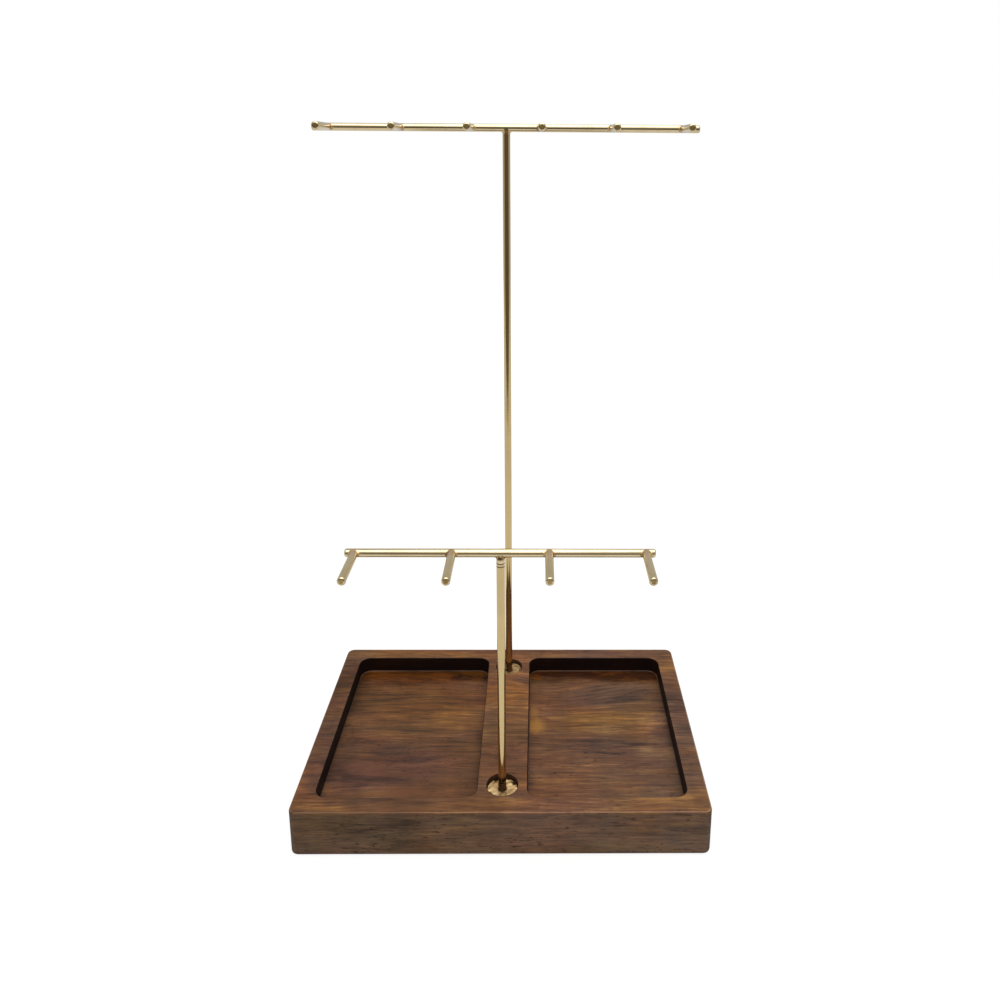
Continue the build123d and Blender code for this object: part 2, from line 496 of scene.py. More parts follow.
def new_material(name):
    """An empty node material, its tree, its shader and its object coordinates."""
    material = bpy.data.materials.new(name)
    tree = clean_tree(material)
    shader = add(tree, "ShaderNodeBsdfPrincipled")
    add(tree, "ShaderNodeOutputMaterial", {"Surface": shader.outputs[0]})
    return material, tree, shader, add(tree, "ShaderNodeTexCoord").outputs["Object"]


def colour_source(material):
    """A material's tree, its shader, what feeds its colour, and its object coordinates."""
    tree = material.node_tree
    shader = next(node for node in tree.nodes if node.type == "BSDF_PRINCIPLED")
    plain = shader.inputs["Base Color"].links[0].from_socket
    return tree, shader, plain, add(tree, "ShaderNodeTexCoord").outputs["Object"]


# Spots

# How fast a spot's edge wavers, in waves a millimetre, and how far, as a share of its least reach
SPOT_WAVES = (0.3, 0.3, 0.3)
SPOT_PUSH = 0.5


def soft_spot():
    """Node group that tints a soft oval spot with an uneven edge, given in millimetres."""
    group, given, result = new_group(
        "soft_spot",
        {
            "Vector": VECTOR,
            "Color": COLOR,
            "Tint": COLOR,
            "Strength": FLOAT,
            "Centre": VECTOR,
            "Reach": VECTOR,
            "Push": VECTOR,
        },
        {"Color": COLOR},
    )
    place = in_millimetres(group, given["Vector"])
    uneven = ragged(group, place, SPOT_WAVES, given["Push"])
    there = patch(group, uneven, given["Centre"], given["Reach"])
    there = maths(group, "MULTIPLY", there, given["Strength"])
    feed(group, result, {"Color": mixed(group, there, given["Color"], given["Tint"])})
    return group


def add_spot(material, tint, strength, centre, reach):
    """Tints a soft oval spot, given in millimetres, of a material's colour."""
    tree, shader, plain, place = colour_source(material)
    inputs = {
        "Vector": place,
        "Color": plain,
        "Tint": tint,
        "Strength": strength,
        "Centre": centre,
        "Reach": reach,
        "Push": [SPOT_PUSH * min(reach)] * 3,
    }
    spot = place_group(tree, soft_spot, inputs)
    feed(tree, shader, {"Base Color": spot["Color"]})


# Wood

# How light the plank is from its front edge to its back edge, in millimetres from the middle
PLANK = (
    (-70.0, 0.58),
    (-52.0, 0.52),
    (-36.0, 0.42),
    (-12.0, 0.36),
    (0.0, 0.40),
    (3.5, 0.66),
    (10.0, 0.66),
    (20.0, 0.50),
    (30.0, 0.34),
    (46.0, 0.48),
    (70.0, 0.58),
)

# Places where the plank departs from its run: the middle and the reach along and across the grain in
# millimetres, then how much lighter, warmer and redder the wood is there
PATCHES = (
    ((-50.0, 30.0), (66.0, 30.0), -0.06, 1.3, 0.2),
    ((-52.0, -34.0), (62.0, 34.0), -0.06, -0.4, 0.6),
    ((68.0, 36.0), (50.0, 17.0), -0.14, -1.2, -0.9),
    ((22.0, 34.0), (14.0, 14.0), -0.04, 0.8, 0.2),
    ((36.0, 12.0), (48.0, 15.0), 0.04, 0.5, 0.0),
    ((82.0, 12.0), (22.0, 14.0), 0.12, -0.3, -0.6),
    ((84.0, -14.0), (24.0, 14.0), 0.22, -0.5, -0.8),
    ((62.0, -24.0), (58.0, 56.0), 0.02, -0.2, -0.5),
    ((-82.0, -40.0), (14.0, 20.0), -0.14, 0.0, 0.6),
    ((-99.0, -52.0), (12.0, 18.0), 0.16, 0.3, 0.5),
    ((-58.0, 7.0), (22.0, 9.0), -0.16, 0.0, 0.0),
    ((-82.0, -64.0), (24.0, 6.0), 0.12, 0.2, 0.3),
    ((84.0, -65.0), (36.0, 7.0), 0.08, -0.1, -0.1),
    ((86.0, -44.0), (24.0, 18.0), -0.04, -0.6, -0.6),
    ((38.0, -66.0), (26.0, 7.0), -0.12, 0.0, 0.2),
    ((3.0, 4.0), (14.0, 12.0), 0.08, 0.3, 0.7),
    ((48.0, -11.0), (42.0, 10.0), -0.12, -0.8, 0.0),
    ((27.0, -42.0), (30.0, 12.0), 0.12, 0.3, -0.2),
    ((70.0, 65.0), (60.0, 8.0), -0.14, -1.0, 0.0),
    ((98.0, 0.0), (24.0, 44.0), -0.24, -1.1, 0.1),
    ((4.0, -38.0), (12.0, 22.0), -0.12, -0.1, 0.1),
    ((2.0, 26.0), (18.0, 22.0), 0.20, 0.8, 0.8),
    ((-60.0, 66.0), (60.0, 9.0), 0.16, 1.2, 0.0),
    ((56.0, -66.0), (70.0, 14.0), 0.06, -0.1, 0.0),
    ((-54.0, -14.0), (40.0, 12.0), -0.14, -0.4, 0.0),
    ((-28.0, 8.0), (24.0, 9.0), 0.14, 0.3, 0.3),
    ((-98.0, 34.0), (20.0, 36.0), -0.26, 0.5, 0.6),
    ((-46.0, -66.0), (30.0, 8.0), -0.18, 0.1, 0.4),
    ((94.0, -70.0), (24.0, 8.0), 0.0, -0.8, -0.3),
)

# How fast the patches' edges waver, how far, and how much a step of warmer or redder tints
PATCH_WAVES = (0.035, 0.11, 0.11)
PATCH_PUSH = (60.0, 20.0, 0.0)
TINT_STEP = 0.5

# Noises of the figure: waves a millimetre along, across and up the plank, detail and roughness.
# Those of the grain follow its run, and those of the plank do not
PLANK_NOISES = {
    "wander": ((0.007, 0.016, 0.022), 2.0),
    "blotch": ((0.040, 0.075, 0.075), 3.0, 0.6),
    "smoke": ((0.018, 0.042, 0.042), 2.0),
    "crowd": ((0.03, 0.06, 0.06), 1.0),
    "painted_sheen": ((0.15, 0.030, 0.030), 2.0),
    "blush": ((0.022, 0.055, 0.055), 3.0, 0.6),
}
GRAIN_NOISES = {
    "swell": ((0.0055, 0.050, 0.050), 2.0),
    "mottle": ((0.013, 0.095, 0.095), 4.0, 0.6),
    "fibres": ((0.06, 0.85, 0.85), 4.0, 0.65),
    "streaks": ((0.025, 0.36, 0.36), 3.0, 0.6),
    "dashes": ((0.24, 1.4, 1.4), 1.0),
    "rays": ((0.05, 0.9, 1.3), 2.0),
}

# How far the grain wanders across the plank, in millimetres
WANDER = 12.0

# Where the grain climbs, how far that reaches, in millimetres, and how steeply it climbs
CLIMB_PLACE = (52.0, 38.0)
CLIMB_REACH = (62.0, 24.0)
CLIMB = 0.24

# Where the grain is calm, how far that reaches, and how much of its contrast it loses there
CALM_PLACE = (-54.0, -38.0)
CALM_REACH = (70.0, 44.0)
CALM = 0.55

# Growth lines in a full swell, and how sharply each of them ends
SWELL_LINES = 11.0
LINE_EDGE = 2.5

# How the plank's bands slope, how much of the grain's wander they take, and how much they lighten
BAND_SLOPE = 0.05
BAND_WANDER = 0.4
BAND_LIGHTENS = 0.50

# How much the rest of the figure lightens the wood, the level that centres the sum of it all, and how
# much lighter the plank gets with each millimetre to the right
LIGHTENS = {"mottle": 0.70, "blotch": 0.50, "streaks": 0.50, "fibres": 0.92, "lines": -0.12}
LIGHT_LEVEL = -0.32
LIGHT_RISE = 0.0007

# Lightness at which each tone turns into the next
DEEP_TO_BROWN = (0.04, 0.56)
BROWN_TO_AMBER = (0.46, 0.98)

# Tints of cool and warm wood, of plain and red wood, and of open pores
COOL, WARM = (0.94, 1.0, 1.13, 1.0), (1.06, 0.98, 0.58, 1.0)
PLAIN, RED = (0.94, 0.98, 0.94, 1.0), (1.03, 0.85, 0.80, 1.0)
PORE = (0.36, 0.32, 0.32, 1.0)

# Ranges of noise for warm and red wood, the painted sheen, rays, pores and where pores crowd, then
# what each gives at its two ends if that is not 0 and 1
WARM_RANGE = (0.7, 0.3, 0.2, 0.8)
RED_RANGE = (0.3, 0.7, 0.1, 0.9)
SHEEN_RANGE = (0.25, 0.75, 0.93, 1.07)
RAY_RANGE = (0.54, 0.70)
PORE_RANGE = (0.60, 0.70)
CROWD_RANGE = (0.35, 0.6, 0.25, 1.0)

# How much brighter a ray is
RAY_GLOW = 0.30

# Roughness of the oiled wood, what fibres and pores add to it, and how high the fibres stand
OILED_ROUGH, FIBRE_ROUGH, PORE_ROUGH = 0.44, 0.16, 0.2
FIBRE_HEIGHT = 0.3

# Strength of the wood's relief and of its shine
WOOD_BUMP = 0.3
WOOD_SPECULAR = 0.14


def plank_lightness(group, across):
    """Lightness of the plank at a distance across it, from the PLANK stops."""
    first, last = PLANK[0][0], PLANK[-1][0]
    inputs = {"Value": across, "From Min": first, "From Max": last}
    position = add(group, "ShaderNodeMapRange", inputs).outputs["Result"]
    ramp = add(group, "ShaderNodeValToRGB", {"Fac": position})
    ramp.color_ramp.interpolation = "EASE"
    stops = ramp.color_ramp.elements
    for number, (millimetres, lightness) in enumerate(PLANK):
        where = (millimetres - first) / (last - first)
        stop = stops[number] if number < 2 else stops.new(where)
        stop.position = where
        stop.color = (lightness, lightness, lightness, 1.0)
    return ramp.outputs["Color"]


def grain_run(group, place, wander):
    """The place as the grain runs: it wanders, and climbs at the back of the right tray."""
    x, y, z = parts(group, place)
    run = maths(group, "MULTIPLY", maths(group, "SUBTRACT", x, CLIMB_PLACE[0]), CLIMB)
    climb = maths(group, "MULTIPLY", oval(group, place, CLIMB_PLACE, CLIMB_REACH), run)
    across = maths(group, "SUBTRACT", maths(group, "ADD", y, wander), climb)
    return add(group, "ShaderNodeCombineXYZ", {0: x, 1: across, 2: z}).outputs[0]


def wood_light(group, place, wander, plank, grain):
    """How light the wood is before its patches."""
    x, y, _ = parts(group, place)
    band = maths(group, "MULTIPLY_ADD", x, BAND_SLOPE, y)
    band = maths(group, "MULTIPLY_ADD", wander, BAND_WANDER, band)
    band = plank_lightness(group, band)
    light = maths(group, "MULTIPLY_ADD", band, BAND_LIGHTENS, LIGHT_LEVEL)
    light = maths(group, "MULTIPLY_ADD", x, LIGHT_RISE, light)

    # Growth lines follow the contours of a broad swell and end in a sharp dark edge
    lines = maths(group, "FRACT", maths(group, "MULTIPLY", grain["swell"], SWELL_LINES))
    lines = maths(group, "POWER", lines, LINE_EDGE)
    figure = {"mottle": grain["mottle"], "blotch": plank["blotch"], "lines": lines}
    calm = oval(group, place, CALM_PLACE, CALM_REACH)
    lively = maths(group, "MULTIPLY_ADD", calm, -CALM, 1.0)
    for name in ("streaks", "fibres"):
        figure[name] = maths(group, "MULTIPLY", maths(group, "SUBTRACT", grain[name], 0.5), lively)
    for name, value in figure.items():
        light = maths(group, "MULTIPLY_ADD", value, LIGHTENS[name], light)
    return light


def wood_figure():
    """Node group for the plank's figure.

    It holds bands, patches, growth lines, fibres, rays, pores and a painted sheen across the grain.
    """
    group, given, result = new_group(
        "wood_figure",
        {"Vector": VECTOR, "Deep": COLOR, "Brown": COLOR, "Amber": COLOR, "Pores": FLOAT},
        {"Color": COLOR, "Roughness": FLOAT, "Height": FLOAT},
    )
    place = in_millimetres(group, given["Vector"])
    plank = noise_set(group, place, PLANK_NOISES)
    wander = maths(group, "MULTIPLY", maths(group, "SUBTRACT", plank["wander"], 0.5), WANDER)
    run = grain_run(group, place, wander)
    grain = noise_set(group, run, GRAIN_NOISES)

    light = wood_light(group, place, wander, plank, grain)
    warm = mapped(group, plank["smoke"], *WARM_RANGE)
    red = mapped(group, plank["blush"], *RED_RANGE)
    uneven = ragged(group, run, PATCH_WAVES, PATCH_PUSH)
    for centre, reach, lighter, warmer, redder in PATCHES:
        there = oval(group, uneven, centre, reach)
        light = maths(group, "MULTIPLY_ADD", there, lighter, light)
        warm = maths(group, "MULTIPLY_ADD", there, warmer * TINT_STEP, warm)
        red = maths(group, "MULTIPLY_ADD", there, redder * TINT_STEP, red)
    wood = mixed(group, mapped(group, light, *DEEP_TO_BROWN), given["Deep"], given["Brown"])
    wood = mixed(group, mapped(group, light, *BROWN_TO_AMBER), wood, given["Amber"])
    wood = times(group, wood, mixed(group, warm, COOL, WARM))
    wood = times(group, wood, mixed(group, red, PLAIN, RED))

    # A painted sheen across the grain and the rays lighten the wood, and pores are dark and crowd
    # together in places
    sheen_and_rays = mapped(group, plank["painted_sheen"], *SHEEN_RANGE)
    sheen_and_rays = maths(group, "MULTIPLY_ADD", mapped(group, grain["rays"], *RAY_RANGE), RAY_GLOW, sheen_and_rays)
    wood = times(group, wood, grey(group, sheen_and_rays))
    crowd = mapped(group, plank["crowd"], *CROWD_RANGE)
    pores = maths(group, "MULTIPLY", mapped(group, grain["dashes"], *PORE_RANGE), crowd)
    open_pores = maths(group, "MULTIPLY", pores, given["Pores"])
    wood = mixed(group, open_pores, wood, times(group, wood, PORE))

    fibres = grain["fibres"]
    height = maths(group, "SUBTRACT", maths(group, "MULTIPLY", fibres, FIBRE_HEIGHT), pores)
    rough = maths(group, "MULTIPLY_ADD", fibres, FIBRE_ROUGH, OILED_ROUGH)
    rough = maths(group, "MULTIPLY_ADD", pores, PORE_ROUGH, rough)
    feed(group, result, {"Color": wood, "Roughness": rough, "Height": height})
    return group


def wood_material(name, tones, pores):
    """Oiled wood with the plank's figure in three tones."""
    material, tree, shader, place = new_material(name)
    deep, brown, amber = tones
    inputs = {"Vector": place, "Deep": deep, "Brown": brown, "Amber": amber, "Pores": pores}
    figure = place_group(tree, wood_figure, inputs)
    looks = {
        "Base Color": figure["Color"],
        "Roughness": figure["Roughness"],
        "Normal": bumped(tree, figure["Height"], WOOD_BUMP),
        "Specular IOR Level": WOOD_SPECULAR,
    }
    feed(tree, shader, looks)
    return material


# Where the painted shadow of the back walls starts and where it is full, as shares of its reach from
# the wall
WALL_SHADOW_STARTS, WALL_SHADOW_FULL = 1.15, 0.45

# How fast the painted shadow's edge wavers, and how far
WALL_SHADOW_WAVES = (0.05, 0.14, 0.14)
WALL_SHADOW_PUSH = (0.0, 14.0, 0.0)

# Noise of the blots in the painted shadow, the range of it that they show in, what is added to it
# from the left tray to the right one, and the blots' tint
BLOT_NOISE = ((0.06, 0.18, 0.18), 4.0, 0.65)
BLOT_RANGE = (0.43, 0.62)
RIGHT_RANGE = (-15.0, 15.0, 0.0, 0.10)
BLOT = (0.34, 0.32, 0.55, 1.0)


def pool_stain(material, stain, wall, reach):
    """Paints the shadow of the back walls on the tray floors, as a darker amber strip with blots."""
    tree, shader, plain, place = colour_source(material)
    place = in_millimetres(tree, place)
    x, y, _ = parts(tree, ragged(tree, place, WALL_SHADOW_WAVES, WALL_SHADOW_PUSH))
    starts = (wall - WALL_SHADOW_STARTS * reach) * MILLIMETRES
    full = (wall - WALL_SHADOW_FULL * reach) * MILLIMETRES
    shadowed = mapped(tree, y, starts, full)
    shadow_colour = times(tree, plain, stain)
    blots = stretched_noise(tree, place, *BLOT_NOISE)
    blots = maths(tree, "ADD", blots, mapped(tree, x, *RIGHT_RANGE))
    blots = mapped(tree, blots, *BLOT_RANGE)
    shadow_colour = mixed(tree, blots, shadow_colour, times(tree, shadow_colour, BLOT))
    feed(tree, shader, {"Base Color": mixed(tree, shadowed, plain, shadow_colour)})


# The tree's heart, as millimetres from the plank's middle, the width of a year's growth, how sharply
# a year ends, and how fast and how far the years waver
HEART = (0.0, 16.0, -64.0)
YEAR = 4.6
YEAR_EDGE = 3.0
YEAR_WAVES = (0.004, 0.03, 0.03)
YEAR_PUSH = (0.0, 9.0, 9.0)

# Rays for each radian round the heart and for each millimetre out, pores in a millimetre, the ranges
# that both show in, and how the pores thin out in late wood
RAYS_ROUND, RAYS_OUT = 90.0, 0.12
END_PORES = 1.5
END_RAY_RANGE = (0.55, 0.75)
END_PORE_RANGE = (0.34, 0.18)
EARLY_RANGE = (0.5, 0.0, 0.2, 1.0)

# How light the sawn wood is, and how much late wood, rays and pores lighten it
SAWN_LEVEL = 0.94
LATE_LIGHTENS, RAYS_LIGHTEN, PORES_LIGHTEN = -0.40, 0.12, -0.42

# How much of the sawn tone the ends take, and how far in from the end, in millimetres, it starts and
# is full
SAWN_SHARE = 0.6
SAWN_STARTS, SAWN_FULL = 2.6, 0.3


def growth_rings(tree, place):
    """Shade of growth rings, rays and open pores round the tree's heart."""
    bent = ragged(tree, place, YEAR_WAVES, YEAR_PUSH)
    from_heart = vector_maths(tree, "SUBTRACT", bent, HEART)
    from_heart = vector_maths(tree, "MULTIPLY", from_heart, (0.0, 1.0, 1.0))
    out = vector_maths(tree, "LENGTH", from_heart)
    year = maths(tree, "FRACT", maths(tree, "DIVIDE", out, YEAR))
    late = maths(tree, "POWER", year, YEAR_EDGE)
    _, y, z = parts(tree, from_heart)
    turned = maths(tree, "MULTIPLY", maths(tree, "ARCTAN2", y, z), RAYS_ROUND)
    inputs = {0: turned, 1: maths(tree, "MULTIPLY", out, RAYS_OUT)}
    rays = add(tree, "ShaderNodeCombineXYZ", inputs).outputs[0]
    rays = mapped(tree, stretched_noise(tree, rays, (1.0, 1.0, 1.0), 1.0), *END_RAY_RANGE)
    cells = add(tree, "ShaderNodeTexVoronoi", {"Vector": place, "Scale": END_PORES})
    pores = mapped(tree, cells.outputs["Distance"], *END_PORE_RANGE)
    pores = maths(tree, "MULTIPLY", pores, mapped(tree, late, *EARLY_RANGE))
    shade = maths(tree, "MULTIPLY_ADD", late, LATE_LIGHTENS, SAWN_LEVEL)
    shade = maths(tree, "MULTIPLY_ADD", rays, RAYS_LIGHTEN, shade)
    return maths(tree, "MULTIPLY_ADD", pores, PORES_LIGHTEN, shade)


def saw_ends(material, tint, end):
    """Shows end grain where the plank was sawn across, at X = end on both sides."""
    tree, shader, plain, place = colour_source(material)
    place = in_millimetres(tree, place)
    sawn = mixed(tree, SAWN_SHARE, plain, tint)
    sawn = times(tree, sawn, grey(tree, growth_rings(tree, place)))
    x, _, _ = parts(tree, place)
    end = end * MILLIMETRES
    there = mapped(tree, maths(tree, "ABSOLUTE", x), end - SAWN_STARTS, end - SAWN_FULL)
    feed(tree, shader, {"Base Color": mixed(tree, there, plain, sawn)})


# Metal

# How dull each finish is in places, how rough, and how strongly its surface waves
POLISHED = (0.5, 0.13, 0.005)
PLATED = (0.75, 0.36, 0.7)
CUT = (0.6, 0.42, 0.2)
BARE = (0.5, 0.45, 0.2)
BRAZED = (0.9, 0.3, 0.35)

# Noises of worn metal: waves a millimetre, detail and roughness
METAL_NOISES = {
    "patches": ((0.09, 0.09, 0.09), 4.0, 0.6),
    "specks": ((1.4, 1.4, 1.4), 3.0, 0.55),
    "polish": ((0.5, 0.5, 0.5), 2.0),
}

# Ranges of noise for dull patches and for dull specks, which are half as dull
DULL_RANGE = (0.42, 0.70)
SPECK_RANGE = (0.64, 0.76, 0.0, 0.5)

# How much rougher dull metal is, and how high specks stand against the polish
DULL_ROUGH = 0.12
SPECK_HEIGHT = 0.1


def metal_wear():
    """Node group for metal: dull patches, handling marks and a fine uneven polish."""
    group, given, result = new_group(
        "metal_wear",
        {"Vector": VECTOR, "Patch": FLOAT, "Rough": FLOAT},
        {"Dull": FLOAT, "Roughness": FLOAT, "Height": FLOAT},
    )
    wear = noise_set(group, in_millimetres(group, given["Vector"]), METAL_NOISES)
    patches = mapped(group, wear["patches"], *DULL_RANGE)
    spots = mapped(group, wear["specks"], *SPECK_RANGE)
    dull = maths(group, "MULTIPLY", maths(group, "MAXIMUM", patches, spots), given["Patch"])
    rough = maths(group, "MULTIPLY_ADD", dull, DULL_ROUGH, given["Rough"])
    height = maths(group, "MULTIPLY_ADD", wear["specks"], SPECK_HEIGHT, wear["polish"])
    feed(group, result, {"Dull": dull, "Roughness": rough, "Height": height})
    return group


def metal_material(name, clean, dull, finish):
    """Metal in two tones with wear."""
    material, tree, shader, place = new_material(name)
    dullness, rough, waves = finish
    wear = place_group(tree, metal_wear, {"Vector": place, "Patch": dullness, "Rough": rough})
    looks = {
        "Base Color": mixed(tree, wear["Dull"], clean, dull),
        "Roughness": wear["Roughness"],
        "Normal": bumped(tree, wear["Height"], waves),
        "Metallic": 1.0,
    }
    feed(tree, shader, looks)
    return material


# Wooden base

# Woods of the base in the order of its material slots: the settings that hold the three tones of each,
# and how open its pores look
WOODS = {
    "oiled_wood": (("deep", "brown", "amber"), 0.5),
    "routed_shaded_wood": (("wall_deep", "wall_brown", "wall_amber"), 0.45),
    "tray_wood": (("deep", "brown", "amber"), 0.65),
    "side_wood": (("side_deep", "side_brown", "side_amber"), 1.0),
    "arris_highlight_wood": (("worn_deep", "worn_brown", "worn_amber"), 0.3),
    "cove_sheen_wood": (("cove_deep", "cove_brown", "cove_amber"), 0.3),
    # The seats' dark tones are painted shade in the counterbores
    "seat_shaded_wood": (("wall_amber", "deep", "side_brown"), 0.45),
}
OILED, ROUTED_SHADE, TRAY, SIDE, ARRIS_HIGHLIGHT, COVE, SEAT = range(len(WOODS))

# Tinted spots of the base: the wood, the setting that holds the tint, the strength, and the middle and
# the reach in millimetres
WOOD_SPOTS = (
    (TRAY, "resin", 0.7, (16.0, 6.5, 0.0), (8.0, 10.0, EVERYWHERE)),
    (TRAY, "resin", 0.45, (14.5, 19.0, 0.0), (5.0, 7.0, EVERYWHERE)),
    # The last spot dims the painted highlight of the top edge along its left part
    (ARRIS_HIGHLIGHT, "dulled", 0.85, (-75.0, 0.0, 0.0), (60.0, EVERYWHERE, EVERYWHERE)),
)

# Edges in a quarter of a seat's round
SEAT_QUARTER = 12

# Upward parts of the normals that part level, steep and upright faces, and those of coves and edges
LEVEL, STEEP, UPRIGHT = 0.9, 0.5, 0.1
COVE_LEAST, COVE_MOST = 0.3, 0.98
EDGE_LEAST, EDGE_MOST = 0.7, 0.9


def middle(edge):
    """Middle of an edge."""
    return (edge.verts[0].co + edge.verts[1].co) / 2


def upright(edge):
    """Whether an edge stands upright."""
    across = (edge.verts[0].co - edge.verts[1].co).xy
    return across.length < MERGE


def over_node(node, height):
    """Point at a height over a node's middle."""
    low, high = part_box(node)
    return Vector(((low.x + high.x) / 2, (low.y + high.y) / 2, height))


def level_faces(bm, height):
    """Faces that look up at a height."""
    return [
        face
        for face in bm.faces
        if face.normal.z > LEVEL and abs(face.calc_center_median().z - height) < MERGE
    ]


def corner_edges(bm, height):
    """Edges at a height where a level face meets an upright one."""
    found = []
    for edge in bm.edges:
        if any(abs(vert.co.z - height) > MERGE for vert in edge.verts):
            continue
        slopes = [abs(face.normal.z) for face in edge.link_faces]
        if len(slopes) == 2 and min(slopes) < UPRIGHT and max(slopes) > LEVEL:
            found.append(edge)
    return found


def cut_faces(bm, faces, place, direction):
    """Cuts faces along a plane and leaves all other faces whole."""
    bmesh.ops.bisect_plane(
        bm, geom=with_borders(faces), dist=MERGE, plane_co=place, plane_no=direction
    )


def cut_land(bm, top, half, place, direction):
    """Cuts the land's faces that lie within half a width of the middle."""
    land = [face for face in level_faces(bm, top) if abs(face.calc_center_median().x) < half]
    cut_faces(bm, land, place, direction)


def sink(bm, faces, depth):
    """Sinks faces straight down, and leaves walls behind them."""
    bmesh.ops.inset_individual(bm, faces=faces, thickness=0.0, depth=-depth)


def rout_trays(bm, settings, top):
    """Sinks the two trays in the block's top."""
    # A strip down the middle leaves two faces, each a rim wider than its tray
    strip = settings.land_width / 2 - settings.rim_width
    for side in (-strip, strip):
        cut_faces(bm, level_faces(bm, top), (side, 0, 0), (1, 0, 0))
    trays = [face for face in level_faces(bm, top) if abs(face.calc_center_median().x) > strip]
    bmesh.ops.inset_individual(
        bm, faces=trays, thickness=settings.rim_width, use_even_offset=True
    )
    seams = [
        edge
        for edge in bm.edges
        if abs(abs(middle(edge).x) - strip) < MERGE and abs(middle(edge).y) < MERGE
    ]
    bmesh.ops.dissolve_edges(bm, edges=seams, use_verts=False)
    sink(bm, trays, settings.tray_depth)
    bm.normal_update()


def bore_seat(bm, square, centre, settings, seat_depth):
    """Bores a tee-nut's counterbore, and the hole below it, in a square face of the land."""
    bmesh.ops.bisect_edges(bm, edges=list(square.edges), cuts=SEAT_QUARTER - 1)
    bmesh.ops.inset_individual(bm, faces=[square], thickness=settings.tray_edge)
    for vert in square.verts:
        away = (vert.co - centre).normalized()
        vert.co = centre + away * settings.seat_radius
    sink(bm, [square], seat_depth)
    ledge = settings.seat_radius - settings.hole_radius
    bmesh.ops.inset_individual(bm, faces=[square], thickness=ledge, use_even_offset=True)
    sink(bm, [square], settings.hole_depth)


def bore_seats(bm, settings, top, flange_thickness):
    """Bores the seats of both tee-nuts in the land between the trays."""
    # Squares in the land, each just wider than the seat that is bored in it
    half = settings.seat_radius + settings.tray_edge
    for side in (-half, half):
        cut_land(bm, top, half, (side, 0, 0), (1, 0, 0))
    centres = {rack: over_node(f"{rack}_tee_nut", top) for rack in RACKS}
    for centre in centres.values():
        for side in (-half, half):
            cut_land(bm, top, MERGE, (0, centre.y + side, 0), (0, 1, 0))
    for rack, centre in centres.items():
        flange_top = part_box(f"{rack}_tee_nut")[1].z
        square = next(
            face
            for face in level_faces(bm, top)
            if (face.calc_center_median() - centre).length < settings.tray_edge
        )
        bore_seat(bm, square, centre, settings, top - flange_top + flange_thickness)
    bm.normal_update()


def within_rim(place, settings, high):
    """Whether a place is further in than the middle of the rim."""
    inside = max(settings.corner_radius, settings.rim_width / 2)
    return abs(place.x) < high.x - inside and abs(place.y) < high.y - inside


def round_edges(bm, settings, low, high):
    """Rounds the upright corners, and then the edges that run round them."""
    outer = [e for e in bm.edges if upright(e) and abs(middle(e).x) > high.x - MERGE]
    soften(bm, outer, settings.corner_radius, segments=8)
    wall = high.y - settings.rim_width
    inner = [e for e in bm.edges if upright(e) and abs(abs(middle(e).y) - wall) < MERGE]
    soften(bm, inner, settings.tray_corner, segments=10)
    bm.normal_update()
    rims = corner_edges(bm, high.z)
    outer = [e for e in rims if not within_rim(middle(e), settings, high)]
    land = settings.land_width / 2 - MERGE
    mouths = [e for e in rims if e not in outer and abs(middle(e).x) > land]
    soften(bm, outer, settings.top_edge, segments=4)
    bm.normal_update()
    soften(bm, [e for e in mouths if e.is_valid], settings.tray_edge, segments=3)
    bm.normal_update()
    soften(bm, corner_edges(bm, low.z), settings.bottom_edge, segments=3)
    bm.normal_update()
    tray_floor = high.z - settings.tray_depth
    soften(bm, corner_edges(bm, tray_floor), settings.floor_edge, segments=3)
    bmesh.ops.recalc_face_normals(bm, faces=bm.faces)
    bm.normal_update()


def face_wood(face, settings, low, high):
    """Number of the wood that a face of the base shows."""
    place, slope = face.calc_center_median(), face.normal.z
    within = within_rim(place, settings, high)
    below_top = low.z + settings.bottom_edge < place.z < high.z - settings.tray_edge / 2
    if within and below_top:
        # Faces sunk in the land are the tee-nuts' seats, darkened as painted shade
        if abs(place.x) <= settings.land_width / 2 - MERGE:
            return SEAT
        # The coves round the floors take greyer tones, a painted sheen
        low_down = place.z < high.z - settings.tray_depth + settings.floor_edge
        if low_down and COVE_LEAST < slope < COVE_MOST:
            return COVE
        # Steep faces in the trays are the walls, near black with painted shade
        return ROUTED_SHADE if slope < STEEP else TRAY
    if abs(slope) < STEEP:
        return SIDE
    # One band of the rounded top edge is a painted highlight, and at the tray mouths that band takes
    # the walls' painted shade
    if EDGE_LEAST < slope < EDGE_MOST:
        return ROUTED_SHADE if within else ARRIS_HIGHLIGHT
    return OILED


def wood_materials(settings, high):
    """Materials of the base in the order of WOODS."""
    woods = [
        wood_material(name, [getattr(settings, key) for key in tones], pores)
        for name, (tones, pores) in WOODS.items()
    ]
    for wood, tint, strength, centre, reach in WOOD_SPOTS:
        add_spot(woods[wood], getattr(settings, tint), strength, centre, reach)
    # Painted shadow of the back walls on the tray floors
    pool_stain(woods[TRAY], settings.stain, high.y - settings.rim_width, settings.stain_reach)
    saw_ends(woods[SIDE], settings.sawn, high.x)
    return woods


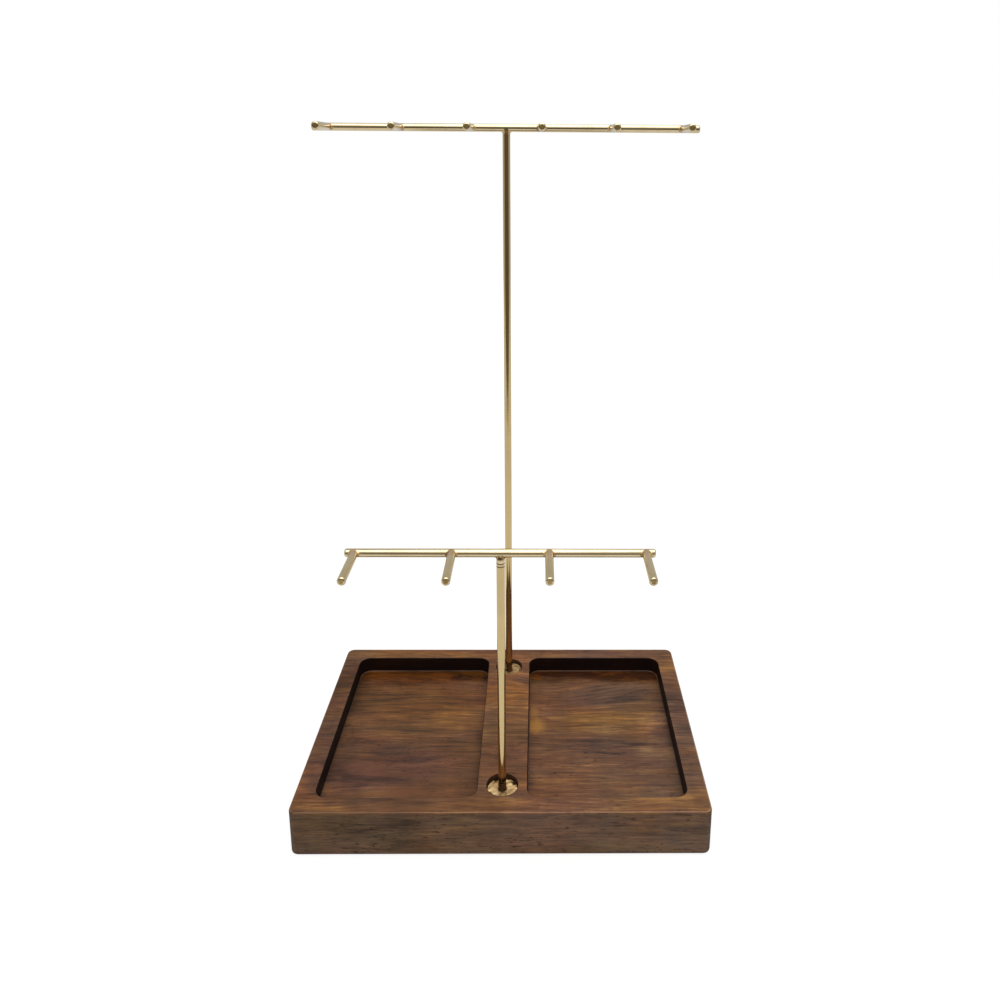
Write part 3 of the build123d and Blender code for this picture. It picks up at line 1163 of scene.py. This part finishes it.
class STAND_OT_base_block(bpy.types.Operator):
    """Make the wooden base with its trays and tee-nut seats"""

    bl_idname = "stand.base_block"
    bl_label = "Wooden Base"

    def execute(self, context):
        settings = context.scene.stand_base
        low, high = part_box("base_block")
        bm = bmesh.new()
        bmesh.ops.create_cube(bm, size=1.0)
        bmesh.ops.scale(bm, vec=high - low, verts=bm.verts)
        bmesh.ops.translate(bm, vec=(low + high) / 2, verts=bm.verts)
        bm.normal_update()
        rout_trays(bm, settings, high.z)
        bore_seats(bm, settings, high.z, context.scene.stand_nuts.flange_thickness)
        round_edges(bm, settings, low, high)
        for face in bm.faces:
            face.material_index = face_wood(face, settings, low, high)
        woods = wood_materials(settings, high)
        piece = finish_piece(
            bm, "wooden_base", "base", "base_block", woods, WOOD_CREASE
        )
        normals = piece.modifiers.new("flat_faces", "WEIGHTED_NORMAL")
        normals.keep_sharp = True
        return {"FINISHED"}


# Tee-nuts

# Rounding of a prong's bend, as a share of the flange's thickness
PRONG_BEND = 0.9

# Dents in a millimetre of flange, and how far the hammer sank it, as a share of the dents' depth
DENTS = 0.55
DENT_SINK = 0.25


def nut_profile(settings, bottom, rim):
    """Closed section of a tee-nut from its bore out to a rim radius, as (radius, height)."""
    bore, barrel = settings.bore_radius, settings.barrel_radius
    mouth, thick = settings.mouth_radius, settings.flange_thickness
    notch = settings.notch_radius
    flare = mouth - bore
    points = [(bore, bottom), (bore, -flare)]
    for step in (0.35, 0.7):
        turned = step * math.pi / 2
        points.append((mouth - flare * math.cos(turned), -flare + flare * math.sin(turned)))
    points.append((mouth, 0.0))
    for step in (0.25, 0.5, 0.75, 1.0):
        points.append((mouth + (notch - mouth) * step, 0.0))
    if rim > notch:
        edge = thick / 6
        for step in (0.25, 0.5, 0.75):
            points.append((notch + (rim - notch) * step, 0.0))
        points += [(rim - edge, 0.0), (rim, -edge), (rim, edge - thick), (rim - edge, -thick)]
    points += [(notch, -thick), (barrel + thick / 4, -thick), (barrel, -1.25 * thick)]
    points += [(barrel, bottom), (bore, bottom)]
    return points


def newer(bm, before):
    """Vertices that were not there before."""
    return [vert for vert in bm.verts if vert not in before]


def add_prong(bm, settings, turned):
    """Adds one prong, a tab bent down out of the flange and cut to a point."""
    thick = settings.flange_thickness
    before = set(bm.verts)
    bmesh.ops.create_cube(bm, size=1.0)
    verts = newer(bm, before)
    size = (thick, settings.prong_width, settings.prong_length)
    bmesh.ops.scale(bm, vec=size, verts=verts)
    place = (settings.notch_radius + thick / 2, 0, -settings.prong_length / 2)
    bmesh.ops.translate(bm, vec=place, verts=verts)
    taper = settings.prong_length - settings.prong_shoulder
    for side in (-1, 1):
        faces = {face for vert in verts for face in vert.link_faces}
        cut = bmesh.ops.bisect_plane(
            bm,
            geom=with_borders(faces),
            dist=MERGE,
            plane_co=(0, 0, -settings.prong_length),
            plane_no=(0, side * taper, -settings.prong_width / 2),
            clear_outer=True,
        )
        edges = [item for item in cut["geom_cut"] if isinstance(item, bmesh.types.BMEdge)]
        bmesh.ops.contextual_create(bm, geom=edges)
        verts = newer(bm, before)
    bend = [
        edge
        for edge in ring_edges(verts)
        if all(abs(vert.co.z) < MERGE for vert in edge.verts)
        and all(vert.co.x > settings.notch_radius + thick / 2 for vert in edge.verts)
    ]
    soften(bm, bend, PRONG_BEND * thick, segments=5)
    matrix = Matrix.Rotation(turned, 3, "Z")
    bmesh.ops.rotate(bm, verts=newer(bm, before), cent=(0, 0, 0), matrix=matrix)


def dent(bm, settings, seed):
    """Dents the flange's top as a hammer does."""
    for vert in bm.verts:
        out = vert.co.xy.length - settings.mouth_radius
        if out < 0.0 or vert.co.z < -settings.flange_thickness / 3:
            continue
        place = vert.co * MILLIMETRES * DENTS + Vector((seed, 0, 0))
        fade = min(1.0, out / settings.flange_thickness)
        vert.co.z += settings.crumple * fade * (noise.noise(place) - DENT_SINK)


class STAND_OT_tee_nuts(bpy.types.Operator):
    """Make the two tee-nuts that take the posts"""

    bl_idname = "stand.tee_nuts"
    bl_label = "Tee-Nuts"

    def execute(self, context):
        settings = context.scene.stand_nuts
        turns = {"rear": settings.rear_turn, "front": settings.front_turn}
        plated = metal_material("flange_plating", settings.gold, settings.worn, PLATED)
        rim = context.scene.stand_base.seat_radius - settings.rim_gap
        gap = 2 * math.asin(settings.notch_width / 2 / rim)
        pitch = math.tau / settings.prongs
        for rack, turned in turns.items():
            node = f"{rack}_tee_nut"
            low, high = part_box(node)
            bottom = low.z - high.z
            whole = nut_profile(settings, bottom, rim)
            notched = nut_profile(settings, bottom, settings.notch_radius)
            bm = bmesh.new()
            for number in range(settings.prongs):
                turn(bm, notched, pitch * number - gap / 2, gap, steps=8)
                turn(bm, whole, pitch * number + gap / 2, pitch - gap, steps=18)
            close(bm)
            for number in range(settings.prongs):
                add_prong(bm, settings, pitch * number)
            dent(bm, settings, seed=turned * MILLIMETRES)
            matrix = Matrix.Translation(over_node(node, high.z)) @ Matrix.Rotation(turned, 4, "Z")
            bmesh.ops.transform(bm, matrix=matrix, verts=bm.verts)
            bmesh.ops.recalc_face_normals(bm, faces=bm.faces)
            finish_piece(
                bm, f"plated_{node}", "base", node, [plated], FLANGE_CREASE
            )
        return {"FINISHED"}


# Rods

# Tinted spots at the T joints, from the corner below and in front of each bar's middle, in
# millimetres: the middle, the reach and the strength. The high spot is painted shade in the front
# crotch and a painted highlight under the rear bar
LOW_MARK = ((0.4, 0.0, -1.9), (2.6, 2.0, 1.3), 0.7)
HIGH_MARK = ((-0.4, 0.6, 0.0), (3.0, 2.6, 1.7), 1.0)

# How far heat tinted the pegs from their roots, in millimetres, and how strongly
PEG_HEAT = 5.5
PEG_HEAT_STRENGTH = 0.7

# How far the file marks are below the front bar's underside, in metres
FILE_MARKS = (0.0026, 0.0042)

# A peg's first ring of points past its coped root, as radii of the bar from the bar's axis
PEG_RING = 2.4

# Steps in the rounding of a rod's end
END_STEPS = 5

# Upward parts of the normals past which a face is in a file mark, and is a rod's flat end
MARK_SLOPE = 0.3
END_SLOPE = 0.99

# Steps of a turn of the thread, and its section as a share of its depth and of its pitch
THREAD_STEPS = 28
THREAD = ((0.0, 0.0), (0.0, 0.12), (1.0, 0.45), (1.0, 0.55), (0.0, 0.88), (0.0, 1.0))


def bar_size(rack):
    """Middle, half length and radius of a rack's crossbar."""
    low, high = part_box(f"{rack}_crossbar")
    return (low + high) / 2, (high.x - low.x) / 2, (high.z - low.z) / 2


def brass_material(name, clean, settings):
    """Polished brass with tinted spots at the two T joints: heat tint, a pale collar, painted shade in
    the front crotch and a painted highlight under the rear bar.
    """
    brass = metal_material(name, clean, settings.tarnish, POLISHED)
    for rack, low_tint, high_tint in (
        ("front", settings.scraped, settings.scorched),
        ("rear", settings.heated, settings.scraped),
    ):
        centre, _, radius = bar_size(rack)
        corner = Vector((0.0, centre.y - radius, centre.z - radius)) * MILLIMETRES
        for tint, (away, reach, strength) in ((low_tint, LOW_MARK), (high_tint, HIGH_MARK)):
            add_spot(brass, tint, strength, corner + Vector(away), reach)
    return brass


def peg_material(settings):
    """Polished brass that is heat tinted at the pegs' roots."""
    brass = metal_material("peg_brass", settings.brass, settings.tarnish, POLISHED)
    for rack in RACKS:
        centre, _, radius = bar_size(rack)
        root = Vector((0.0, centre.y - radius, centre.z)) * MILLIMETRES
        reach = (EVERYWHERE, PEG_HEAT, PEG_HEAT)
        add_spot(brass, settings.heated, PEG_HEAT_STRENGTH, root, reach)
    return brass


def cut_material(settings):
    """Brass of the rods' cut ends, made on first use."""
    found = bpy.data.materials.get("cut_brass")
    return found or metal_material("cut_brass", settings.cut, settings.scale, CUT)


def mark_faces(bm, chosen):
    """Gives the chosen faces the second material."""
    bm.normal_update()
    for face in bm.faces:
        if chosen(face):
            face.material_index = 1


def cut_end(face):
    """Whether a face of an upright rod is its flat end."""
    return abs(face.normal.z) > END_SLOPE


def cope(bm, bar_radius):
    """Shapes a hanging rod's top, which is level at Z = 0, to the round of the bar above it."""
    for vert in bm.verts:
        if vert.co.z > -MERGE:
            across = min(abs(vert.co.y), bar_radius)
            vert.co.z = -math.sqrt(bar_radius**2 - across**2)


def root_points(rod_radius):
    """Level top of a hanging rod, from its middle out."""
    return [(rod_radius * step, 0.0) for step in (0.0, 0.35, 0.7, 1.0)]


def file_marks(settings, rod_radius, underside):
    """Grooves that a file left round a rod below a bar's underside."""
    points = []
    for place in FILE_MARKS:
        start = underside - place
        points += [
            (rod_radius, start),
            (rod_radius - settings.mark_depth, start - settings.mark_width / 2),
            (rod_radius, start - settings.mark_width),
        ]
    return points


def end_points(rod_radius, bottom, rounding):
    """Rounded free end of a hanging rod, from its side in to its middle."""
    points = []
    for step in range(END_STEPS + 1):
        turned = step / END_STEPS * math.pi / 2
        out = rod_radius - rounding * (1 - math.cos(turned))
        points.append((out, bottom + rounding * (1 - math.sin(turned))))
    return points + [((rod_radius - rounding) * 0.5, bottom), (0.0, bottom)]


def add_thread(bm, settings, radius, start, stop):
    """Adds a screw thread between two heights round Z."""
    pitch = settings.thread_pitch
    turns = math.floor((stop - start) / pitch) - 1
    root = radius - settings.thread_depth
    points = [(root + settings.thread_depth * out, start + pitch * up) for out, up in THREAD]
    turn(
        bm,
        points,
        sweep=math.tau * turns,
        steps=THREAD_STEPS * turns,
        rise=pitch / THREAD_STEPS,
    )


def new_rod(points):
    """Closed mesh of a rod turned from points (radius, height)."""
    bm = bmesh.new()
    turn(bm, points)
    close(bm)
    return bm


def finish_rod(bm, node, rack, materials):
    """Makes the object of a finished rod, which rides on its rack."""
    finish_piece(
        bm, f"brass_{node}", f"{rack}_rack", node, materials, ROD_CREASE
    )


class STAND_OT_posts(bpy.types.Operator):
    """Make the two posts, coped at the top and threaded at the foot"""

    bl_idname = "stand.posts"
    bl_label = "Posts"

    def execute(self, context):
        settings = context.scene.stand_racks
        # The posts' deeper brass is a painted reflection
        brass = brass_material("post_brass", settings.post, settings)
        shaded_marks_and_thread = metal_material("dark_thread_and_mark_shade", settings.thread, settings.scale, BARE)
        for rack in RACKS:
            node = f"{rack}_post"
            low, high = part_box(node)
            centre, _, bar_radius = bar_size(rack)
            radius = (high.x - low.x) / 2
            bottom = low.z - centre.z
            shank = bottom + settings.thread_length
            core = radius - settings.thread_depth
            points = root_points(radius)
            if rack == "front":
                points += file_marks(settings, radius, -bar_radius)
            points += [(radius, shank), (core, shank - settings.thread_depth)]
            points += end_points(core, bottom, settings.foot_round)
            bm = new_rod(points)
            cope(bm, bar_radius)
            add_thread(bm, settings, radius, bottom + settings.foot_round, shank)
            close(bm)
            # The file marks' slopes and the threaded foot take the dark metal: painted shade in the
            # grooves, and a dark band at the foot
            mark_faces(
                bm, lambda f: abs(f.normal.z) > MARK_SLOPE or f.calc_center_median().z < shank
            )
            bmesh.ops.translate(bm, vec=centre, verts=bm.verts)
            finish_rod(bm, node, rack, [brass, shaded_marks_and_thread])
        return {"FINISHED"}


class STAND_OT_crossbars(bpy.types.Operator):
    """Make the two crossbars"""

    bl_idname = "stand.crossbars"
    bl_label = "Crossbars"

    def execute(self, context):
        settings = context.scene.stand_racks
        brass = brass_material("rod_brass", settings.brass, settings)
        for rack in RACKS:
            centre, half, radius = bar_size(rack)
            lower = end_points(radius, -half, settings.end_round)
            upper = [(out, -height) for out, height in reversed(lower)]
            bm = new_rod(upper + lower)
            mark_faces(bm, cut_end)
            matrix = Matrix.Translation(centre) @ SIDEWAYS
            bmesh.ops.transform(bm, matrix=matrix, verts=bm.verts)
            finish_rod(bm, f"{rack}_crossbar", rack, [brass, cut_material(settings)])
        return {"FINISHED"}


def peg_nodes(rack):
    """Names of a rack's peg nodes, from left to right."""
    named = [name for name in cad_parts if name.startswith(f"{rack}_peg_")]
    return sorted(name for name in named if name.rsplit("_", 1)[1].isdigit())


class STAND_OT_pegs(bpy.types.Operator):
    """Make the pegs that point forward from the crossbars"""

    bl_idname = "stand.pegs"
    bl_label = "Pegs"

    def execute(self, context):
        settings = context.scene.stand_racks
        brass = peg_material(settings)
        for rack in RACKS:
            centre, _, bar_radius = bar_size(rack)
            for node in peg_nodes(rack):
                low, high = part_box(node)
                radius = (high.x - low.x) / 2
                points = root_points(radius)
                points.append((radius, -PEG_RING * bar_radius))
                points += end_points(radius, low.y - centre.y, settings.end_round)
                bm = new_rod(points)
                mark_faces(bm, cut_end)
                cope(bm, bar_radius)
                place = Matrix.Translation(((low.x + high.x) / 2, centre.y, centre.z))
                bmesh.ops.transform(bm, matrix=place @ FORWARD, verts=bm.verts)
                finish_rod(bm, node, rack, [brass, cut_material(settings)])
        return {"FINISHED"}


# Braze fillets

# Sections in a fillet, steps in a section's hollow front, and how far round the rod it goes
BEAD_ROWS = 20
BEAD_ARC = 6
BEAD_WIDEST = math.radians(82)

# Power by which a fillet thins out to the sides, and how thick its ends are and how far it bites into
# the rods, as shares of its leg
BEAD_THINNING = 0.4
BEAD_END = 0.04
BEAD_BITE = 0.1


def add_bead(bm, radius, leg, side, matrix):
    """Adds a braze fillet in one crotch of a rod that hangs from a bar of its own radius.

    Each section lies across the crotch. Its front is hollow, and it thins out to the sides,
    where the rod and the bar run flush.
    """
    rings = []
    for row in range(BEAD_ROWS + 1):
        swing = 2 * row / BEAD_ROWS - 1
        turned = BEAD_WIDEST * swing
        flush = radius * math.cos(turned)
        reach = leg * (math.cos(swing * math.pi / 2) ** BEAD_THINNING + BEAD_END)
        points = []
        for step in range(BEAD_ARC + 1):
            t = step / BEAD_ARC * math.pi / 2
            points.append((flush + reach * (1 - math.cos(t)), -flush - reach * (1 - math.sin(t))))
        bite = flush - leg * BEAD_BITE
        points.append((bite, -bite))
        depth = radius * math.sin(turned)
        rings.append([bm.verts.new(matrix @ Vector((side * x, depth, z))) for x, z in points])
    for ring in rings:
        for first, second in zip(ring, ring[1:] + ring[:1]):
            bm.edges.new((first, second))
    for first, second in zip(rings, rings[1:]):
        bmesh.ops.bridge_loops(bm, edges=ring_edges(first) + ring_edges(second))
    for ring in (rings[0], rings[-1]):
        bmesh.ops.contextual_create(bm, geom=ring_edges(ring))


class STAND_OT_braze(bpy.types.Operator):
    """Make the braze fillets of the posts and pegs"""

    bl_idname = "stand.braze"
    bl_label = "Braze Fillets"

    def execute(self, context):
        settings = context.scene.stand_racks
        filler = metal_material("braze_filler", settings.filler, settings.scale, BRAZED)
        for rack in RACKS:
            centre, _, radius = bar_size(rack)
            pegs = [sum(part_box(node), Vector()).x / 2 for node in peg_nodes(rack)]
            joints = {
                f"{rack}_post_braze": [Matrix.Translation(centre)],
                f"{rack}_peg_braze": [
                    Matrix.Translation((x, centre.y, centre.z)) @ FORWARD for x in pegs
                ],
            }
            for node, places in joints.items():
                bm = bmesh.new()
                for place in places:
                    for side in (-1, 1):
                        add_bead(bm, radius, settings.braze_leg, side, place)
                bmesh.ops.recalc_face_normals(bm, faces=bm.faces)
                finish_piece(
                    bm, f"filler_{node}", f"{rack}_rack", node, [filler], BRAZE_CREASE
                )
        return {"FINISHED"}


# Stage

# Width of the camera's sensor in millimetres, and the nearest that the camera sees in metres
SENSOR_WIDTH = 36.0
NEAREST = 0.01

# Y and Z of the directions in which the unlit room starts, and in which it is full
BEHIND_RANGE = (-0.15, -0.75)
LOW_RANGE = (0.45, 0.1)

# Strength of the studio where it lights the stand and where metal mirrors it
FILL_LEVEL = 0.62
MIRROR_LEVEL = 0.55

# Size of the table, and its middle, which is a hair below the stand
TABLE_SIZE = (2.6, 2.4, 1.0)
TABLE_PLACE = (0.0, 0.62, -0.0001)

# Distances from the stand's middle, in metres, between which the table turns white, and how white it
# is near the stand
SHADOW_NEAR, SHADOW_FAR = 0.16, 0.42
NEAR_WHITE = 0.74

# How white the table is to the camera and in metal
TABLE_SEEN, TABLE_MIRRORED = 1.10, 0.78


def seen_rays(tree):
    """Masks for what the camera sees itself, and for what it sees in metal."""
    path = add(tree, "ShaderNodeLightPath").outputs
    shine = maths(tree, "MAXIMUM", path["Is Glossy Ray"], path["Is Transmission Ray"])
    return path["Is Camera Ray"], shine


def set_world(room):
    """Lights the stage with a white studio that has an unlit room behind the camera.

    The camera itself sees plain white.
    """
    world = bpy.data.worlds.new("studio")
    bpy.context.scene.world = world
    tree = clean_tree(world)
    _, y, z = parts(tree, add(tree, "ShaderNodeTexCoord").outputs["Generated"])
    behind = mapped(tree, y, *BEHIND_RANGE)
    low = mapped(tree, z, *LOW_RANGE)
    studio = mixed(tree, maths(tree, "MULTIPLY", behind, low), WHITE, room)
    fill = add(tree, "ShaderNodeBackground", {"Color": studio, "Strength": FILL_LEVEL})
    mirrored = add(tree, "ShaderNodeBackground", {"Color": studio, "Strength": MIRROR_LEVEL})
    backdrop = add(tree, "ShaderNodeBackground", {"Color": WHITE, "Strength": 1.0})
    camera, shine = seen_rays(tree)
    shown = blended(tree, camera, blended(tree, shine, fill, mirrored), backdrop)
    add(tree, "ShaderNodeOutputWorld", {"Surface": shown.outputs[0]})


def table_material(paint):
    """Pale table that shows white to the camera and in metal, and keeps a soft shadow."""
    material = bpy.data.materials.new("table_top")
    tree = clean_tree(material)
    away = vector_maths(tree, "LENGTH", add(tree, "ShaderNodeTexCoord").outputs["Object"])
    white = mapped(tree, away, SHADOW_NEAR, SHADOW_FAR, NEAR_WHITE, 1.0)
    camera, shine = seen_rays(tree)
    level = maths(tree, "MULTIPLY_ADD", camera, TABLE_SEEN - TABLE_MIRRORED, TABLE_MIRRORED)
    matt = add(tree, "ShaderNodeBsdfDiffuse", {"Color": paint})
    plain = add(tree, "ShaderNodeEmission", {"Color": WHITE, "Strength": level})
    share = maths(tree, "MULTIPLY", white, maths(tree, "MAXIMUM", camera, shine))
    shown = blended(tree, share, matt, plain)
    add(tree, "ShaderNodeOutputMaterial", {"Surface": shown.outputs[0]})
    return material


def add_camera(settings):
    """Camera at the photograph's viewing angle."""
    data = bpy.data.cameras.new("photo_camera")
    data.sensor_width = SENSOR_WIDTH
    data.lens = settings.focal * SENSOR_WIDTH
    data.shift_x, data.shift_y = settings.shift
    data.clip_start = NEAREST
    camera = new_object("photo_camera", data)
    aim = (
        Matrix.Rotation(-settings.camera_yaw, 4, "Z")
        @ Matrix.Rotation(math.pi / 2 - settings.camera_pitch, 4, "X")
        @ Matrix.Rotation(settings.camera_roll, 4, "Z")
    )
    camera.matrix_world = Matrix.Translation(settings.camera_place) @ aim
    bpy.context.scene.camera = camera


def add_table(paint):
    """Table that the stand is on."""
    bm = bmesh.new()
    bmesh.ops.create_grid(bm, x_segments=1, y_segments=1, size=0.5)
    bmesh.ops.scale(bm, vec=TABLE_SIZE, verts=bm.verts)
    bmesh.ops.translate(bm, vec=TABLE_PLACE, verts=bm.verts)
    table = new_object("table", new_mesh(bm, "table", [table_material(paint)]))


def add_softbox(settings):
    """Soft lamp over the stand."""
    data = bpy.data.lights.new("top_softbox", "AREA")
    data.shape = "RECTANGLE"
    data.size, data.size_y = settings.lamp_width, settings.lamp_height
    data.energy = settings.lamp_power
    lamp = new_object("top_softbox", data)
    lamp.location = settings.lamp_place
    lamp.rotation_mode = "QUATERNION"
    way = settings.lamp_target - settings.lamp_place
    lamp.rotation_quaternion = way.to_track_quat("-Z", "Y")


class STAND_OT_stage(bpy.types.Operator):
    """Set up the camera, the table and the light"""

    bl_idname = "stand.stage"
    bl_label = "Stage"

    def execute(self, context):
        settings = context.scene.stand_stage
        context.scene.view_settings.view_transform = "Standard"
        add_camera(settings)
        add_table(settings.table)
        set_world(settings.room)
        add_softbox(settings)
        return {"FINISHED"}


# Add-on


class STAND_PT_parts(bpy.types.Panel):
    """Lists the stand's settings and pieces"""

    bl_idname = "STAND_PT_parts"
    bl_label = "Jewelry Stand"
    bl_space_type = "VIEW_3D"
    bl_region_type = "UI"
    bl_category = "Jewelry Stand"

    def draw(self, context):
        for name, settings in SETTINGS.items():
            box = self.layout.box()
            for key in settings.__annotations__:
                box.prop(getattr(context.scene, name), key)
        for operator in OPERATORS:
            self.layout.operator(operator.bl_idname)


SETTINGS = {
    "stand_base": BaseSettings,
    "stand_nuts": NutSettings,
    "stand_racks": RackSettings,
    "stand_stage": StageSettings,
}
OPERATORS = (
    STAND_OT_stage,
    STAND_OT_base_block,
    STAND_OT_tee_nuts,
    STAND_OT_posts,
    STAND_OT_crossbars,
    STAND_OT_pegs,
    STAND_OT_braze,
)
CLASSES = (*SETTINGS.values(), *OPERATORS, STAND_PT_parts)


def register():
    for kind in CLASSES:
        bpy.utils.register_class(kind)
    for name, settings in SETTINGS.items():
        setattr(bpy.types.Scene, name, PointerProperty(type=settings))


def unregister():
    for name in SETTINGS:
        delattr(bpy.types.Scene, name)
    for kind in reversed(CLASSES):
        bpy.utils.unregister_class(kind)


def main():
    register()
    bpy.ops.stand.stage()
    bpy.ops.stand.base_block()
    bpy.ops.stand.tee_nuts()
    bpy.ops.stand.posts()
    bpy.ops.stand.crossbars()
    bpy.ops.stand.pegs()
    bpy.ops.stand.braze()


if __name__ == "__main__":
    main()
